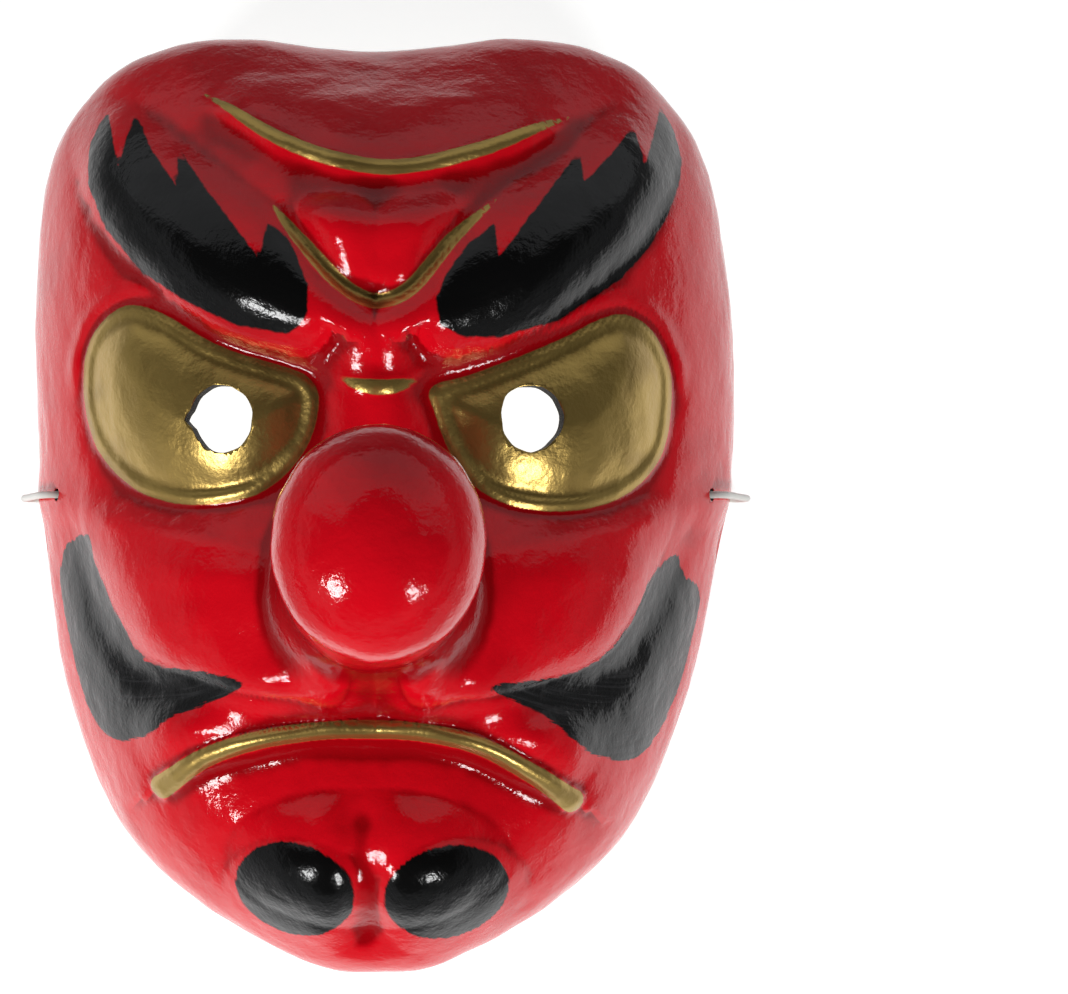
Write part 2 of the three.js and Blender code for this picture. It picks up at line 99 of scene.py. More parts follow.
class Graph:
    """The node tree of a material or the world: one call adds a node and wires its inputs."""

    def __init__(self, name, owner=None):
        self.material = owner or bpy.data.materials.new(name)
        self.material.use_nodes = True
        self.tree = self.material.node_tree
        self.shader = self.tree.nodes.get("Principled BSDF") or self.tree.nodes["Background"]

    def add(self, kind, settings=None, **inputs):
        node = self.tree.nodes.new("ShaderNode" + kind)
        for key, value in (settings or {}).items():
            setattr(node, key, value)
        for key, value in inputs.items():
            self.wire(node, key.replace("_", " "), value)
        return node

    def wire(self, node, key, value):
        socket = node.inputs[int(key)] if key.isdigit() else node.inputs[key]
        if isinstance(value, bpy.types.NodeSocket):
            self.tree.links.new(value, socket)
        else:
            socket.default_value = value

    def attribute(self, name):
        return self.add("Attribute", {"attribute_name": name})

    def math(self, operation, a, b=0.0, clamp=False):
        node = self.add("Math", {"operation": operation, "use_clamp": clamp})
        self.wire(node, "0", a)
        self.wire(node, "1", b)
        return node.outputs[0]

    def ramp(self, value, low, high):
        """A smooth step from 0 at low to 1 at high."""
        node = self.add("MapRange", {"interpolation_type": "SMOOTHSTEP"})
        for key, setting in (("Value", value), ("From Min", low), ("From Max", high)):
            self.wire(node, key, setting)
        return node.outputs["Result"]

    def mix(self, factor, a, b):
        node = self.add("Mix", {"data_type": "RGBA"})
        for index, value in ((0, factor), (6, a), (7, b)):
            if isinstance(value, bpy.types.NodeSocket):
                self.tree.links.new(value, node.inputs[index])
            else:
                node.inputs[index].default_value = value
        return node.outputs[2]

    def blend(self, factor, a, b):
        """The same for plain numbers: a where the factor is 0, b where it is 1."""
        node = self.add("MapRange")
        for key, setting in (("Value", factor), ("To Min", a), ("To Max", b)):
            self.wire(node, key, setting)
        return node.outputs["Result"]

    def noise(self, vector, scale, detail=2.0, roughness=0.5):
        node = self.add("TexNoise", Vector=vector, Scale=scale, Detail=detail, Roughness=roughness)
        return node.outputs["Fac"]

    def bump(self, height, strength, distance, normal=None):
        node = self.add("Bump", Height=height, Strength=strength, Distance=distance)
        if normal is not None:
            self.wire(node, "Normal", normal)
        return node.outputs["Normal"]


def store(mesh, name, values):
    """Keep one number, or one vector, for every vertex under a name that a material can read."""
    values = np.asarray(values, dtype=np.float32)
    kind = "FLOAT" if values.ndim == 1 else "FLOAT_VECTOR"
    layer = mesh.attributes.new(name, kind, "POINT")
    layer.data.foreach_set("value" if values.ndim == 1 else "vector", values.ravel())


def places(mesh):
    """All vertex positions of a mesh as an array, in millimetres."""
    flat = np.empty(len(mesh.vertices) * 3, dtype=np.float32)
    mesh.vertices.foreach_get("co", flat)
    return flat.reshape(-1, 3).astype(float) / MM


def set_places(mesh, points):
    """Move all vertices of a mesh to these positions, given in millimetres."""
    mesh.vertices.foreach_set("co", (np.asarray(points) * MM).astype(np.float32).ravel())
    mesh.update()


print("helpers ready")

# %% [markdown]
# ## The elastic
#
# A round white elastic, two millimetres thick, holds the mask on the head. It is knotted inside the
# wall, comes out of a hole in each side, goes down the cheek and round the rim, and lies slack across
# the open back. A curve with a round bevel could draw it, but the woven sleeve needs points to push in
# and out, so the tube is swept as a mesh: a ring of points carried along one smooth line.

# %% Route of the elastic
ELASTIC_DIAMETER = 2.0
ELASTIC_STEP = 0.4
ELASTIC_ROUTE = [
    (-86.2, 5, 22.9), (-87.6, 5, 23.6), (-89.7, 5, 24.1), (-91.8, 5, 23.4), (-93.3, 5, 21.8),
    (-97, 5, 14.6), (-100.7, 5, 7.3), (-101.1, 5, 5.3), (-100.5, 5, 3.2), (-99, 5, 1.7),
    (-96.9, 5, 1.2), (-90, 4.6, 1.2), (-75, 1, 1.2), (-57, -9, 1.2), (-38, -20, 1.2),
    (-18, -28, 1.2), (3, -31, 1.2), (24, -28, 1.2), (43, -20, 1.2), (60, -9, 1.2), (76, 1, 1.2),
    (90, 4.6, 1.2), (96.9, 5, 1.2), (98.9, 5, 1.7), (100.5, 5, 3.2), (101.1, 5, 5.3),
    (100.6, 5, 7.4), (96.5, 5, 14.7), (92.3, 5, 21.9), (90.8, 5, 23.5), (88.8, 5, 24.1),
    (86.6, 5, 23.6), (85.2, 5, 22.9),
]


def smooth_line(points, steps, closed=False):
    """A smooth line through every point, by the Catmull-Rom formula."""
    knots = np.array(points, dtype=float)
    if closed:
        knots = np.vstack([knots[-1:], knots, knots[:2]])
    else:
        knots = np.vstack([2 * knots[0] - knots[1], knots, 2 * knots[-1] - knots[-2]])
    line = []
    for a, b, c, d in zip(knots, knots[1:], knots[2:], knots[3:]):
        for t in np.arange(steps) / steps:
            line.append(b + 0.5 * t * (c - a + t * (2 * a - 5 * b + 4 * c - d + t * (3 * (b - c) + d - a))))
    if not closed:
        line.append(knots[-2])
    return np.array(line)


def even_line(line, step):
    """The same line with its points an even step apart."""
    run = np.concatenate([[0], np.cumsum(np.linalg.norm(np.diff(line, axis=0), axis=1))])
    stops = np.linspace(0, run[-1], max(int(run[-1] / step), 2) + 1)
    return np.stack([np.interp(stops, run, line[:, axis]) for axis in range(3)], axis=1), run[-1]


elastic_line, elastic_length = even_line(smooth_line(ELASTIC_ROUTE, 12), ELASTIC_STEP)
print(f"elastic: {elastic_length:.0f} mm long")

# %% [markdown]
# The sleeve is a braid: strands run both ways round the rubber and cross. A straight tube from
# `create_cone` is cut into many rings, each ring is carried to its place on the line, and its points
# sink a little where no strand lies on top. Bump alone could fake this, but real relief also shows in the
# outline of the cord and in the mesh itself.

# %% Sweep a braided tube along a line
BRAID_SIDES = 20
BRAID_STRANDS = 5
BRAID_PITCH = 4.2
BRAID_DEPTH = 0.09


def braided_tube(name, line, diameter):
    """A round cord along a line, with the crossing strands of its sleeve pressed into the surface."""
    run = np.concatenate([[0], np.cumsum(np.linalg.norm(np.diff(line, axis=0), axis=1))])
    tangent = np.gradient(line, axis=0)
    tangent /= np.linalg.norm(tangent, axis=1, keepdims=True)
    side = np.cross(tangent[0], (0.0, 1.0, 0.0))
    sides = []
    for direction in tangent:
        side = side - direction * side.dot(direction)
        side /= np.linalg.norm(side)
        sides.append(side)
    sides = np.array(sides)
    ups = np.cross(tangent, sides)

    tube = bmesh.new()
    bmesh.ops.create_cone(tube, cap_ends=True, segments=BRAID_SIDES, radius1=1, radius2=1, depth=1)
    walls = [e for e in tube.edges if abs(e.verts[0].co.z - e.verts[1].co.z) > 0.5]
    bmesh.ops.subdivide_edges(tube, edges=walls, cuts=len(line) - 2, use_grid_fill=True)
    mesh = bpy.data.meshes.new(name)
    tube.to_mesh(mesh)
    tube.free()

    spot = places(mesh) * MM
    ring = np.rint((spot[:, 2] + 0.5) * (len(line) - 1)).astype(int)
    angle = np.arctan2(spot[:, 1], spot[:, 0])
    twist = 2 * np.pi * run[ring] / BRAID_PITCH
    one_way, other_way = (np.sin(BRAID_STRANDS * (angle + way * twist) / 2) for way in (1, -1))
    weave = np.abs(one_way * other_way)
    radius = diameter / 2 * (1 - BRAID_DEPTH * (1 - weave))
    across = np.cos(angle)[:, None] * sides[ring] + np.sin(angle)[:, None] * ups[ring]
    set_places(mesh, line[ring] + radius[:, None] * across)
    return mesh


elastic_mesh = braided_tube("elastic", elastic_line, ELASTIC_DIAMETER)
elastic = add_piece("elastic", elastic_mesh, "elastic", "elastic_cord")
print("elastic faces:", len(elastic.data.polygons))

# %% [markdown]
# An overhand knot in each end keeps the elastic from slipping out. Its line is a trefoil, the shape
# that an overhand knot takes when its ends are joined, so the same sweep makes it from a short formula.

# %% Knots inside the wall
KNOTS = {
    "elastic_knot_left": ((-83.6, 5.0, 21.55), (-0.887, 0.0, 0.462)),
    "elastic_knot_right": ((82.7, 5.0, 21.48), (0.88, 0.0, 0.475)),
}
KNOT_SIZE = 0.78
KNOT_CORD = 1.8
KNOT_STEP = 0.35


def knot_line(middle, outward):
    """The line of an overhand knot: a trefoil, turned so that it lies flat against the wall."""
    t = np.linspace(0.0, 2 * np.pi, 90)
    flat = np.stack([
        np.sin(t) + 2 * np.sin(2 * t), np.cos(t) - 2 * np.cos(2 * t), -0.9 * np.sin(3 * t)], axis=1)
    turn = np.array(Vector((0, 0, 1)).rotation_difference(Vector(outward)).to_matrix())
    return np.array(middle) + KNOT_SIZE * flat @ turn.T


knots = []
for node, (middle, outward) in KNOTS.items():
    line, _ = even_line(knot_line(middle, outward), KNOT_STEP)
    knot_mesh = braided_tube(node, line, KNOT_CORD)
    knots.append(add_piece(node.replace("elastic_", "tied_"), knot_mesh, "elastic", node))

print("knots:", [knot.name for knot in knots])

# %% [markdown]
# The sleeve is white thread, a little grey from handling. Thread scatters light and does not shine, so
# the finish is rough, with a slow noise for the grey and a very fine one as bump for the fuzz.

# %% Woven white finish of the elastic
def woven_elastic():
    """White thread, slightly soiled."""
    graph = Graph("woven elastic")
    here = graph.add("TexCoord").outputs["Object"]
    fuzz = graph.noise(here, 2600.0, 3.0)
    soil = graph.noise(here, 60.0, 3.0)
    colour = graph.mix(graph.ramp(soil, 0.45, 0.8), (0.86, 0.85, 0.81, 1), (0.70, 0.67, 0.60, 1))
    graph.wire(graph.shader, "Base Color", colour)
    graph.wire(graph.shader, "Roughness", 0.75)
    graph.wire(graph.shader, "Normal", graph.bump(fuzz, 0.35, 0.0001))
    return graph.material


elastic_finish = woven_elastic()
for piece in [elastic, *knots]:
    piece.data.materials.append(elastic_finish)
print("elastic is woven and white")

# %% [markdown]
# ## The form of the mask
#
# The mask is a dome with a carved face, pulled up into a long hollow nose. All of it is one skin, so it
# is made from one ball: its top becomes the tip of the nose, its waist the rim, and its lower half is
# pushed up inside to line the hollow. A formula says where every point of the ball goes. The lines of
# the face (brow, eye, cheek, mouth, frown) are drawn as smooth curves, and the height near a curve
# depends on the distance to it, as a carver would cut a groove or leave a bead along a pencil line.

# %% Sizes of the form
WALL = 2.8
DOME_HEIGHT = 74.0
AXIS = np.array([-2.5, 1.0])
HALF_RIM = [
    (0, 116.4), (35, 119), (56.5, 116.6), (73, 108.8), (88, 91.4), (96.5, 59.3), (98.5, 21),
    (93.9, -18.8), (86.9, -52.8), (71.3, -85.4), (48, -105.1), (18.6, -118.3), (0, -120.8),
]
RIM_SKEW = 2.6
CROWN_LIFT, CHIN_LIFT, ELASTIC_DENT = 42.8, 36.8, 4.0
NOSE_Y = -19.0
NOSE_TIP = 185.0
NOSE_BALL = 18.8
NOSE_ROOT, NOSE_ROOT_RADIUS, NOSE_FLARE = 95.0, 20.3, 26.5
NOSE_SHAFT = [
    (95, 0, -19.3, 20.3, 20.3), (110, 0.2, -19.5, 18, 18), (133.6, 0.5, -18.6, 16.6, 16.6),
    (146, 0.8, -16.8, 17.4, 18.6), (157, 1.1, -14.4, 18.5, 20.2), (166.2, 1.15, -13.1, 18.9, 20.7),
]
FOREHEAD_LINE = smooth_line([(-42, 99.2), (-20, 82.6), (2, 75.8), (24, 81), (47.5, 93)], 12)
FROWN_LINE = smooth_line(
    [(-24, 68), (-16.8, 58.4), (-7.5, 48), (0, 44.5), (8, 47), (18, 59.3), (28, 69)], 12)
BROW_LINE = smooth_line([(17, 41.5), (33, 50), (52, 66), (66, 84), (73, 102)], 12)
LEFT_EYE = smooth_line([
    (60, 46.4), (67.8, 43.7), (72.4, 37.4), (73.4, 26.9), (70.2, 15.7), (62.7, 7.4), (54.2, 2.7),
    (42.8, 0.6), (29.8, 2.3), (21.5, 7.8), (16.5, 14.9), (14.7, 22.8), (16.4, 26.8), (21.3, 29.3),
    (33.6, 33.2), (42, 37.3), (50.9, 43)], 6, True)
RIGHT_EYE = smooth_line([
    (60.6, 44.2), (67.8, 41.6), (72.9, 34.1), (73.8, 25.3), (71.6, 14.1), (64.6, 5.6), (54.7, 0.7),
    (42.8, -1), (31.7, 0.4), (23.2, 5.5), (18, 13.6), (15, 21.7), (14.6, 25), (23, 27.7), (35.7, 32.7),
    (46.6, 37.8), (53.5, 41.8)], 6, True)
CHEEK_EDGE = smooth_line(
    [(8, 6), (45, 6), (76, 2), (72.5, -16), (60, -36), (42, -43.5), (22, -47), (6, -44)], 12, True)
MOUTH_LINE = smooth_line(
    [(-54, -71), (-40, -61.5), (-22, -56), (1, -54.3), (22, -57.5), (38, -66), (49, -74)], 12)
print("mouth:", round(float(np.ptp(MOUTH_LINE[:, 0]))), "mm wide")

# %% [markdown]
# A carved form is built from few kinds of shape. `ease` fades something in or out, `bell` is a ridge or
# groove of a given place and width, `mound` is a rounded lump, and `nearest` measures how far a point
# lies from a drawn line. The rim has its own two formulas: how far out it lies in each direction, and
# how high, since it rises at the crown and the chin.

# %% Formulas of the form
def ease(low, high, value):
    """A smooth step from 0 at low to 1 at high; it falls where low is the larger."""
    t = np.clip((value - low) / (high - low), 0, 1)
    return t * t * (3 - 2 * t)


def bell(value, middle, width):
    """A ridge of height 1 at the middle."""
    return np.exp(-(((value - middle) / width) ** 2))


def mound(x, y, cx, cy, rx, ry, turn, power):
    """A lump of height 1 on a turned ellipse; a small power makes its edge steep."""
    c, s = np.cos(np.radians(turn)), np.sin(np.radians(turn))
    along = ((x - cx) * c + (y - cy) * s) / rx
    across = ((y - cy) * c - (x - cx) * s) / ry
    return np.clip(1 - along ** 2 - across ** 2, 0, None) ** power


def nearest(x, y, line, closed=False):
    """Distance to a drawn line, the side of it (1 is left of its run) and the share of it passed."""
    stops = np.vstack([line, line[:1]]) if closed else line
    distance = np.full(x.shape, 1e9)
    side = np.zeros(x.shape)
    along = np.zeros(x.shape)
    spans = len(stops) - 1
    for i in range(spans):
        (ax, ay), (rx, ry) = stops[i], stops[i + 1] - stops[i]
        t = np.clip(((x - ax) * rx + (y - ay) * ry) / (rx * rx + ry * ry), 0, 1)
        ox, oy = x - ax - t * rx, y - ay - t * ry
        d = np.hypot(ox, oy)
        closer = d < distance
        distance[closer] = d[closer]
        side[closer] = np.sign(rx * oy - ry * ox)[closer]
        along[closer] = ((i + t) / spans)[closer]
    return distance, side, along


def eye_depth(x, y):
    """Signed distance to the edge of the nearer eye, positive inside; the two eyes differ a little."""
    depth = np.empty(x.shape)
    for half, edge in ((x < 0, LEFT_EYE), (x >= 0, RIGHT_EYE)):
        d, side, _ = nearest(np.abs(x[half]), y[half], edge, True)
        depth[half] = np.where(side < 0, d, -d)
    return depth


def rim_outline():
    """The rim seen from above, as the distance from the nose for every direction."""
    points = HALF_RIM + [(-x, y) for x, y in HALF_RIM[-2:0:-1]]
    line = smooth_line([(x + RIM_SKEW * bell(y, 25, 55), y) for x, y in points], 40, True)
    angle = np.arctan2(line[:, 1] - NOSE_Y, line[:, 0])
    order = np.argsort(angle)
    return angle[order], np.hypot(line[:, 0], line[:, 1] - NOSE_Y)[order]


RIM_ANGLE, RIM_REACH = rim_outline()


def rim_radius(angle):
    """How far out the rim lies in a direction."""
    return np.interp(angle, RIM_ANGLE, RIM_REACH, period=2 * np.pi)


def rim_height(y):
    """How high the rim lies: up at crown and chin, with a dent at each side for the elastic."""
    up = CROWN_LIFT * (np.clip(y, 0, None) / 118) ** 2.3
    down = CHIN_LIFT * (np.clip(-y, 0, None) / 120) ** 3.6
    return np.maximum(up + down - 1.2, 0) + ELASTIC_DENT * bell(y, 4, 6.5)


print("rim from", round(RIM_REACH.min()), "to", round(RIM_REACH.max()), "mm from the nose")

# %% [markdown]
# Now the carving, from the forehead down to the chin. Each passage adds a height in millimetres to the
# dome: the swelling of a brow, the step of a cheek, the round bead that the gold lines are painted on.
# Sculpting by hand would give the same forms, but numbers can be changed one at a time. The inside gets
# the same forms without the beads, because thick paper does not follow such fine lines.

# %% Carving of the face
FOREHEAD_HEIGHT, HEART_HEIGHT, BRIDGE_HEIGHT = 14.5, 5.4, 7.5
BROW_HEIGHT, BROW_FALL = 9.0, 4.0
EYE_SWELL, EYE_EDGE, EYE_BEAD = 8.0, 2.5, 2.2
CHEEK_HEIGHT, LIP_ROLL, MOUTH_HOLLOW, MOUTH_BEAD = 9.0, 4.8, 6.0, 2.5
LIP_HEIGHT, CHIN_HEIGHT, CHIN_FURROW = 7.0, 4.6, 3.6


def carve_upper(x, y, bead):
    """Forehead, frown, brows, eyes and bridge; bead is 1 outside and 0 for the smoother inside."""
    ax = np.abs(x)
    h = FOREHEAD_HEIGHT * bell(y, 68, 35) * bell(x, 0, 50)

    d, side, t = nearest(x, y, FOREHEAD_LINE)
    ends = ease(0, 0.12, t) * ease(1, 0.88, t)
    h += ends * np.where(side > 0, 2.4 * bell(d, 0, 16), 2.4 * bell(d, 0, 3.5) - 1.2 * bell(d, 7, 5))
    h += bead * ends * 0.9 * bell(d, 0, 1.5)

    d, side, t = nearest(x, y, FROWN_LINE)
    ends = ease(0, 0.15, t) * ease(1, 0.85, t)
    heart = np.where(side > 0, HEART_HEIGHT * (1 - bell(d, 0, 4.3)) * ease(76, 58, y), 0)
    h += ends * (heart - 1.6 * bell(d, 0, 3.5)) + bead * ends * 0.7 * bell(d, 1.4, 0.9) * (side < 0)
    h += 1.5 * mound(ax, y, 9, 63, 10, 16, -14, 1.3)

    d, side, t = nearest(ax, y, BROW_LINE)
    belly = np.sqrt(np.clip(1 - ((t - 0.36) / 0.66) ** 2, 0, 1))
    under = np.clip(1 - (d / (0.6 + 11 * belly)) ** 2, 0, 1) ** 0.7
    over = np.clip(1 - (d / (0.6 + 20 * belly)) ** 2, 0, 1) ** 1.3
    h += (BROW_HEIGHT - BROW_FALL * t) * np.sqrt(belly) * np.where(side < 0, under, over)

    depth = eye_depth(x, y)
    d = np.abs(depth)
    ball = -EYE_EDGE + EYE_SWELL * (1 - np.exp(-d / 8))
    lid = 1.8 * bell(d, 4.6, 2.3) * ease(26, 36, y) - EYE_EDGE * bell(d, 0, 6)
    h += np.where(depth > 0, ball, lid) + bead * EYE_BEAD * bell(d, 0, 1.5)

    h += BRIDGE_HEIGHT * bell(x, 0, 12) * ease(-10, 10, y) * ease(54, 38, y)
    h += 2.6 * bell(y, 35.5, 5.5) * bell(x, 0, 13)
    return h + bead * 1.0 * bell(y, 24.8 + 0.03 * x * x, 1.3) * bell(x, 1, 7)


def carve_lower(x, y, bead):
    """Cheeks, mouth and chin, with bead as above."""
    ax = np.abs(x)
    d, side, t = nearest(ax, y, CHEEK_EDGE, True)
    fold = -2.2 * bell(d, 5, 5) * (1 - np.exp(-d / 2))
    h = ease(6, -20, y) * np.where(side < 0, CHEEK_HEIGHT * (1 - np.exp(-d / 5.2)), fold)

    d, side, t = nearest(x, y, MOUTH_LINE)
    ends = ease(-0.02, 0.12, t) * ease(1.02, 0.88, t)
    roll = LIP_ROLL * np.where(side > 0, bell(d, 9, 8.5), bell(0, 9, 8.5) * bell(d, 0, 3))
    hollow = np.where(side > 0, 0, MOUTH_HOLLOW * (1 - bell(d, 0, 4)) * bell(d, 0, 15))
    width = 2.2 + 1.0 * (2 * t - 1) ** 4
    h += roll * (0.35 + 0.65 * ends) - hollow * ease(0, 0.3, t) * ease(1, 0.7, t)
    h += bead * MOUTH_BEAD * np.sqrt(np.clip(1 - (d / width) ** 2, 0, 1))

    h += LIP_HEIGHT * mound(x, y, -2, -87, 35, 18, 0, 1.2)
    h += CHIN_HEIGHT * mound(ax, y, 19, -98, 20, 17, 0, 0.95)
    return h - CHIN_FURROW * bell(x, -3.5, 5.5) * ease(-68, -78, y) * ease(-120, -104, y)


def face_height(angle, radius, bead):
    """Height of the face in a direction from the nose, at a distance from it."""
    x, y = radius * np.cos(angle), NOSE_Y + radius * np.sin(angle)
    edge = rim_radius(angle)
    upright = np.sin(angle) ** 2
    fullness = 0.8 * (1 - upright) + np.where(np.sin(angle) > 0, 0.5, 0.6) * upright
    share = np.clip(radius / edge, 0, 1)
    foot = rim_height(NOSE_Y + edge * np.sin(angle))
    dome = foot + (DOME_HEIGHT - foot) * (1 - share ** (2.2 + 0.4 * upright)) ** fullness
    return dome + ease(1, 0.82, share) * (carve_upper(x, y, bead) + carve_lower(x, y, bead))


between_eyes = face_height(np.array([np.pi / 2]), np.array([49.0]), 1)[0]
print(f"height between the eyes: {between_eyes:.1f} mm")

# %% [markdown]
# The nose stands almost straight up out of the face, so no height over a plane can describe it. The skin
# is measured instead by how far one has travelled from the tip of the nose: over the ball, down the
# shaft, then out over the face to the rim. The lining lies one wall thickness behind it, along the
# direction that the skin faces.

# %% The skin as one sheet, from the tip of the nose to the rim
NOSE_RINGS = smooth_line(NOSE_SHAFT, 12).T
FLARE_BELOW = 7.0


def skin(angle, travel, bead):
    """Points of the skin. Travel 0 to 1 is the ball of the nose, 1 to 2 its shaft, 2 to 3 the face."""
    equator = NOSE_TIP - NOSE_BALL
    turn = np.clip(travel, 0, 1) * np.pi / 2
    shaft_z = equator + (NOSE_ROOT - equator) * np.clip(travel - 1, 0, 1)
    nose_z = np.where(travel < 1, equator + NOSE_BALL * np.cos(turn), shaft_z)
    nose_x, nose_y, nose_rx, nose_ry = (np.interp(nose_z, NOSE_RINGS[0], ring) for ring in NOSE_RINGS[1:])
    nose_x = nose_x + np.sin(turn) * nose_rx * np.cos(angle)
    nose_y = nose_y + np.sin(turn) * nose_ry * np.sin(angle)
    nose = np.stack([nose_x, nose_y, nose_z], axis=1)

    share = 1 - np.clip(3 - np.clip(travel, 2, 3), 0, 1) ** 1.5
    radius = NOSE_ROOT_RADIUS + (rim_radius(angle) - NOSE_ROOT_RADIUS) * share
    flare = NOSE_FLARE + FLARE_BELOW * np.clip(-np.sin(angle), 0, 1)
    reach = np.clip((flare - radius) / (flare - NOSE_ROOT_RADIUS), 0, 1) ** 2.4
    height = face_height(angle, radius, bead)
    root = face_height(angle, np.full(angle.shape, NOSE_ROOT_RADIUS), bead)
    height = height + (NOSE_ROOT - root) * reach
    face = np.stack([radius * np.cos(angle), NOSE_Y + radius * np.sin(angle), height], axis=1)
    return np.where((travel >= 2)[:, None], face, nose)


def lining(angle, travel):
    """Points of the inside, one wall behind the skin."""
    step = 0.03
    here = skin(angle, travel, 0)
    around = skin(angle + step, travel, 0) - skin(angle - step, travel, 0)
    down = skin(angle, np.minimum(travel + step, 3), 0) - skin(angle, np.maximum(travel - step, 0.001), 0)
    outward = np.cross(down, around)
    outward /= np.maximum(np.linalg.norm(outward, axis=1, keepdims=True), 1e-9)
    level = np.stack([np.cos(angle), np.sin(angle), 0 * angle], axis=1)
    outward = np.where((travel >= 3)[:, None], level, outward)
    outward = np.where((travel <= 0)[:, None], (0.0, 0.0, 1.0), outward)
    return here - WALL * outward


print("skin and lining are", WALL, "mm apart")

# %% [markdown]
# ## From a ball to the mask
#
# `create_uvsphere` gives a ball with columns and rows. A point's row says how far it has travelled from
# the tip of the nose, over the face, round the rim and back up inside; its column says in which
# direction. Dense rows go where the face is. Pressed paper is never quite even, so the outer points are
# then moved in and out by a slow noise: that is what breaks the highlights on the real lacquer.

# %% Turn a ball into the mask
COLUMNS = 430
OUTER_ROWS = (12, 22, 118)
INNER_ROWS = (5, 12, 40)
RIM_ROWS = [(0.25, -0.1), (0.8, 0.0), (2.0, 0.0), (2.55, -0.1)]
LUMPS = [(16.0, 0.30), (7.0, 0.17), (3.6, 0.065)]
NOSE_LUMPS = 1.7


def travels(rows):
    """How far every row has travelled, from the number of rows on ball, shaft and face."""
    stops = [np.arange(1, count + 1) / count + stretch for stretch, count in enumerate(rows)]
    return np.concatenate([[0.0], *stops])


def mask_mesh():
    """The whole mask, outside and inside, with the inside in the second material slot."""
    outer, inner = travels(OUTER_ROWS), travels(INNER_ROWS)[::-1]
    rows = len(outer) + len(RIM_ROWS) + len(inner) - 1
    ball = bmesh.new()
    bmesh.ops.create_uvsphere(ball, u_segments=COLUMNS, v_segments=rows, radius=1.0)
    mesh = bpy.data.meshes.new("mask")
    ball.to_mesh(mesh)
    ball.free()
    spot = places(mesh) * MM
    row = np.rint(np.arccos(np.clip(spot[:, 2], -1, 1)) / np.pi * rows).astype(int)
    angle = np.arctan2(spot[:, 1], spot[:, 0])
    first_inside = len(outer) + len(RIM_ROWS)
    outside, inside = row < len(outer), row >= first_inside
    point = np.empty_like(spot)
    point[outside] = skin(angle[outside], outer[row[outside]], 1)
    point[inside] = lining(angle[inside], inner[row[inside] - first_inside])
    for index, (inset, lift) in enumerate(RIM_ROWS):
        edge = row == len(outer) + index
        level = np.stack([np.cos(angle[edge]), np.sin(angle[edge]), 0 * angle[edge]], axis=1)
        point[edge] = skin(angle[edge], np.full(edge.sum(), 3.0), 1) - inset * level
        point[edge, 2] += lift
    point[:, 2] = np.maximum(point[:, 2], 0)
    point[:, :2] += AXIS
    set_places(mesh, point)

    normals = np.empty(len(point) * 3, dtype=np.float32)
    mesh.vertex_normals.foreach_get("vector", normals)
    swell = np.zeros(len(point))
    for i in np.flatnonzero(outside & (point[:, 2] > 2)):
        swell[i] = sum(size * noise.noise(Vector(point[i] / wave)) for wave, size in LUMPS)
    swell *= np.where(point[:, 2] > NOSE_ROOT, NOSE_LUMPS, 1.0)
    set_places(mesh, point + swell[:, None] * normals.reshape(-1, 3))

    corner = np.empty(len(mesh.loops), dtype=np.int32)
    mesh.loops.foreach_get("vertex_index", corner)
    start = np.array([face.loop_start for face in mesh.polygons])
    lined = np.minimum(row[corner[start]], row[corner[start + 1]]) >= len(outer) - 1
    mesh.polygons.foreach_set("material_index", lined.astype(np.int32))
    return mesh


mask = add_piece("mask", mask_mesh(), "lacquered_paper", "mask_shell")
print("mask faces:", len(mask.data.polygons))

# %% [markdown]
# ## Holes for the eyes and the elastic
#
# The eye holes were punched through the wet paper, so their edges wander and the left one has a small
# tear. A cutter starts as a plain cylinder whose sides are pushed in and out a little; a
# Boolean takes it away from the mask, and the new walls take the cutter's own material slot.

# %% Cut the holes
EYE_HOLES = [((-37.9, 19.9, 72), -18, 7.9, 1.7), ((33.6, 20.0, 72), 18, 7.8, 0.0)]
ELASTIC_HOLES = [((-88.3, 5, 24), (-0.887, 0, 0.462)), ((87.4, 5, 24), (0.88, 0, 0.475))]
EYE_CUT_DEPTH, EYE_WANDER = 34.0, 0.016
ELASTIC_HOLE_RADIUS, ELASTIC_CUT_DEPTH = 1.7, 9.0
CUT_EDGE_SLOT = 2


def hole_cutter(name, middle, outward, radius, depth, tear=0.0, wander=0.0):
    """A cylinder across the wall, with an uneven edge and a torn notch on its left."""
    cutter = bmesh.new()
    bmesh.ops.create_cone(cutter, cap_ends=True, segments=48, radius1=radius, radius2=radius, depth=depth)
    turn = Vector((0, 0, 1)).rotation_difference(Vector(outward)).to_matrix()
    for vert in cutter.verts:
        angle = np.arctan2(vert.co.y, vert.co.x)
        waves = np.sin(3 * angle + 1) + 0.7 * np.sin(5 * angle + middle[0]) + 0.5 * np.sin(11 * angle)
        push = 1 + wander * waves
        push += tear / radius * np.exp(-(((abs(angle) - np.pi) / 0.17) ** 2))
        vert.co = turn @ Vector((vert.co.x * push, vert.co.y * push, vert.co.z)) + Vector(middle)
    bmesh.ops.scale(cutter, vec=(MM, MM, MM), verts=cutter.verts)
    mesh = bpy.data.meshes.new(name)
    cutter.to_mesh(mesh)
    cutter.free()
    for face in mesh.polygons:
        face.material_index = CUT_EDGE_SLOT
    return bpy.data.objects.new(name, mesh)


cutters = []
for middle, tilt, radius, tear in EYE_HOLES:
    outward = (np.sin(np.radians(tilt)), 0, np.cos(np.radians(tilt)))
    cutters.append(hole_cutter("eye cutter", middle, outward, radius, EYE_CUT_DEPTH, tear, EYE_WANDER))
for middle, outward in ELASTIC_HOLES:
    cutters.append(hole_cutter("elastic cutter", middle, outward, ELASTIC_HOLE_RADIUS, ELASTIC_CUT_DEPTH))

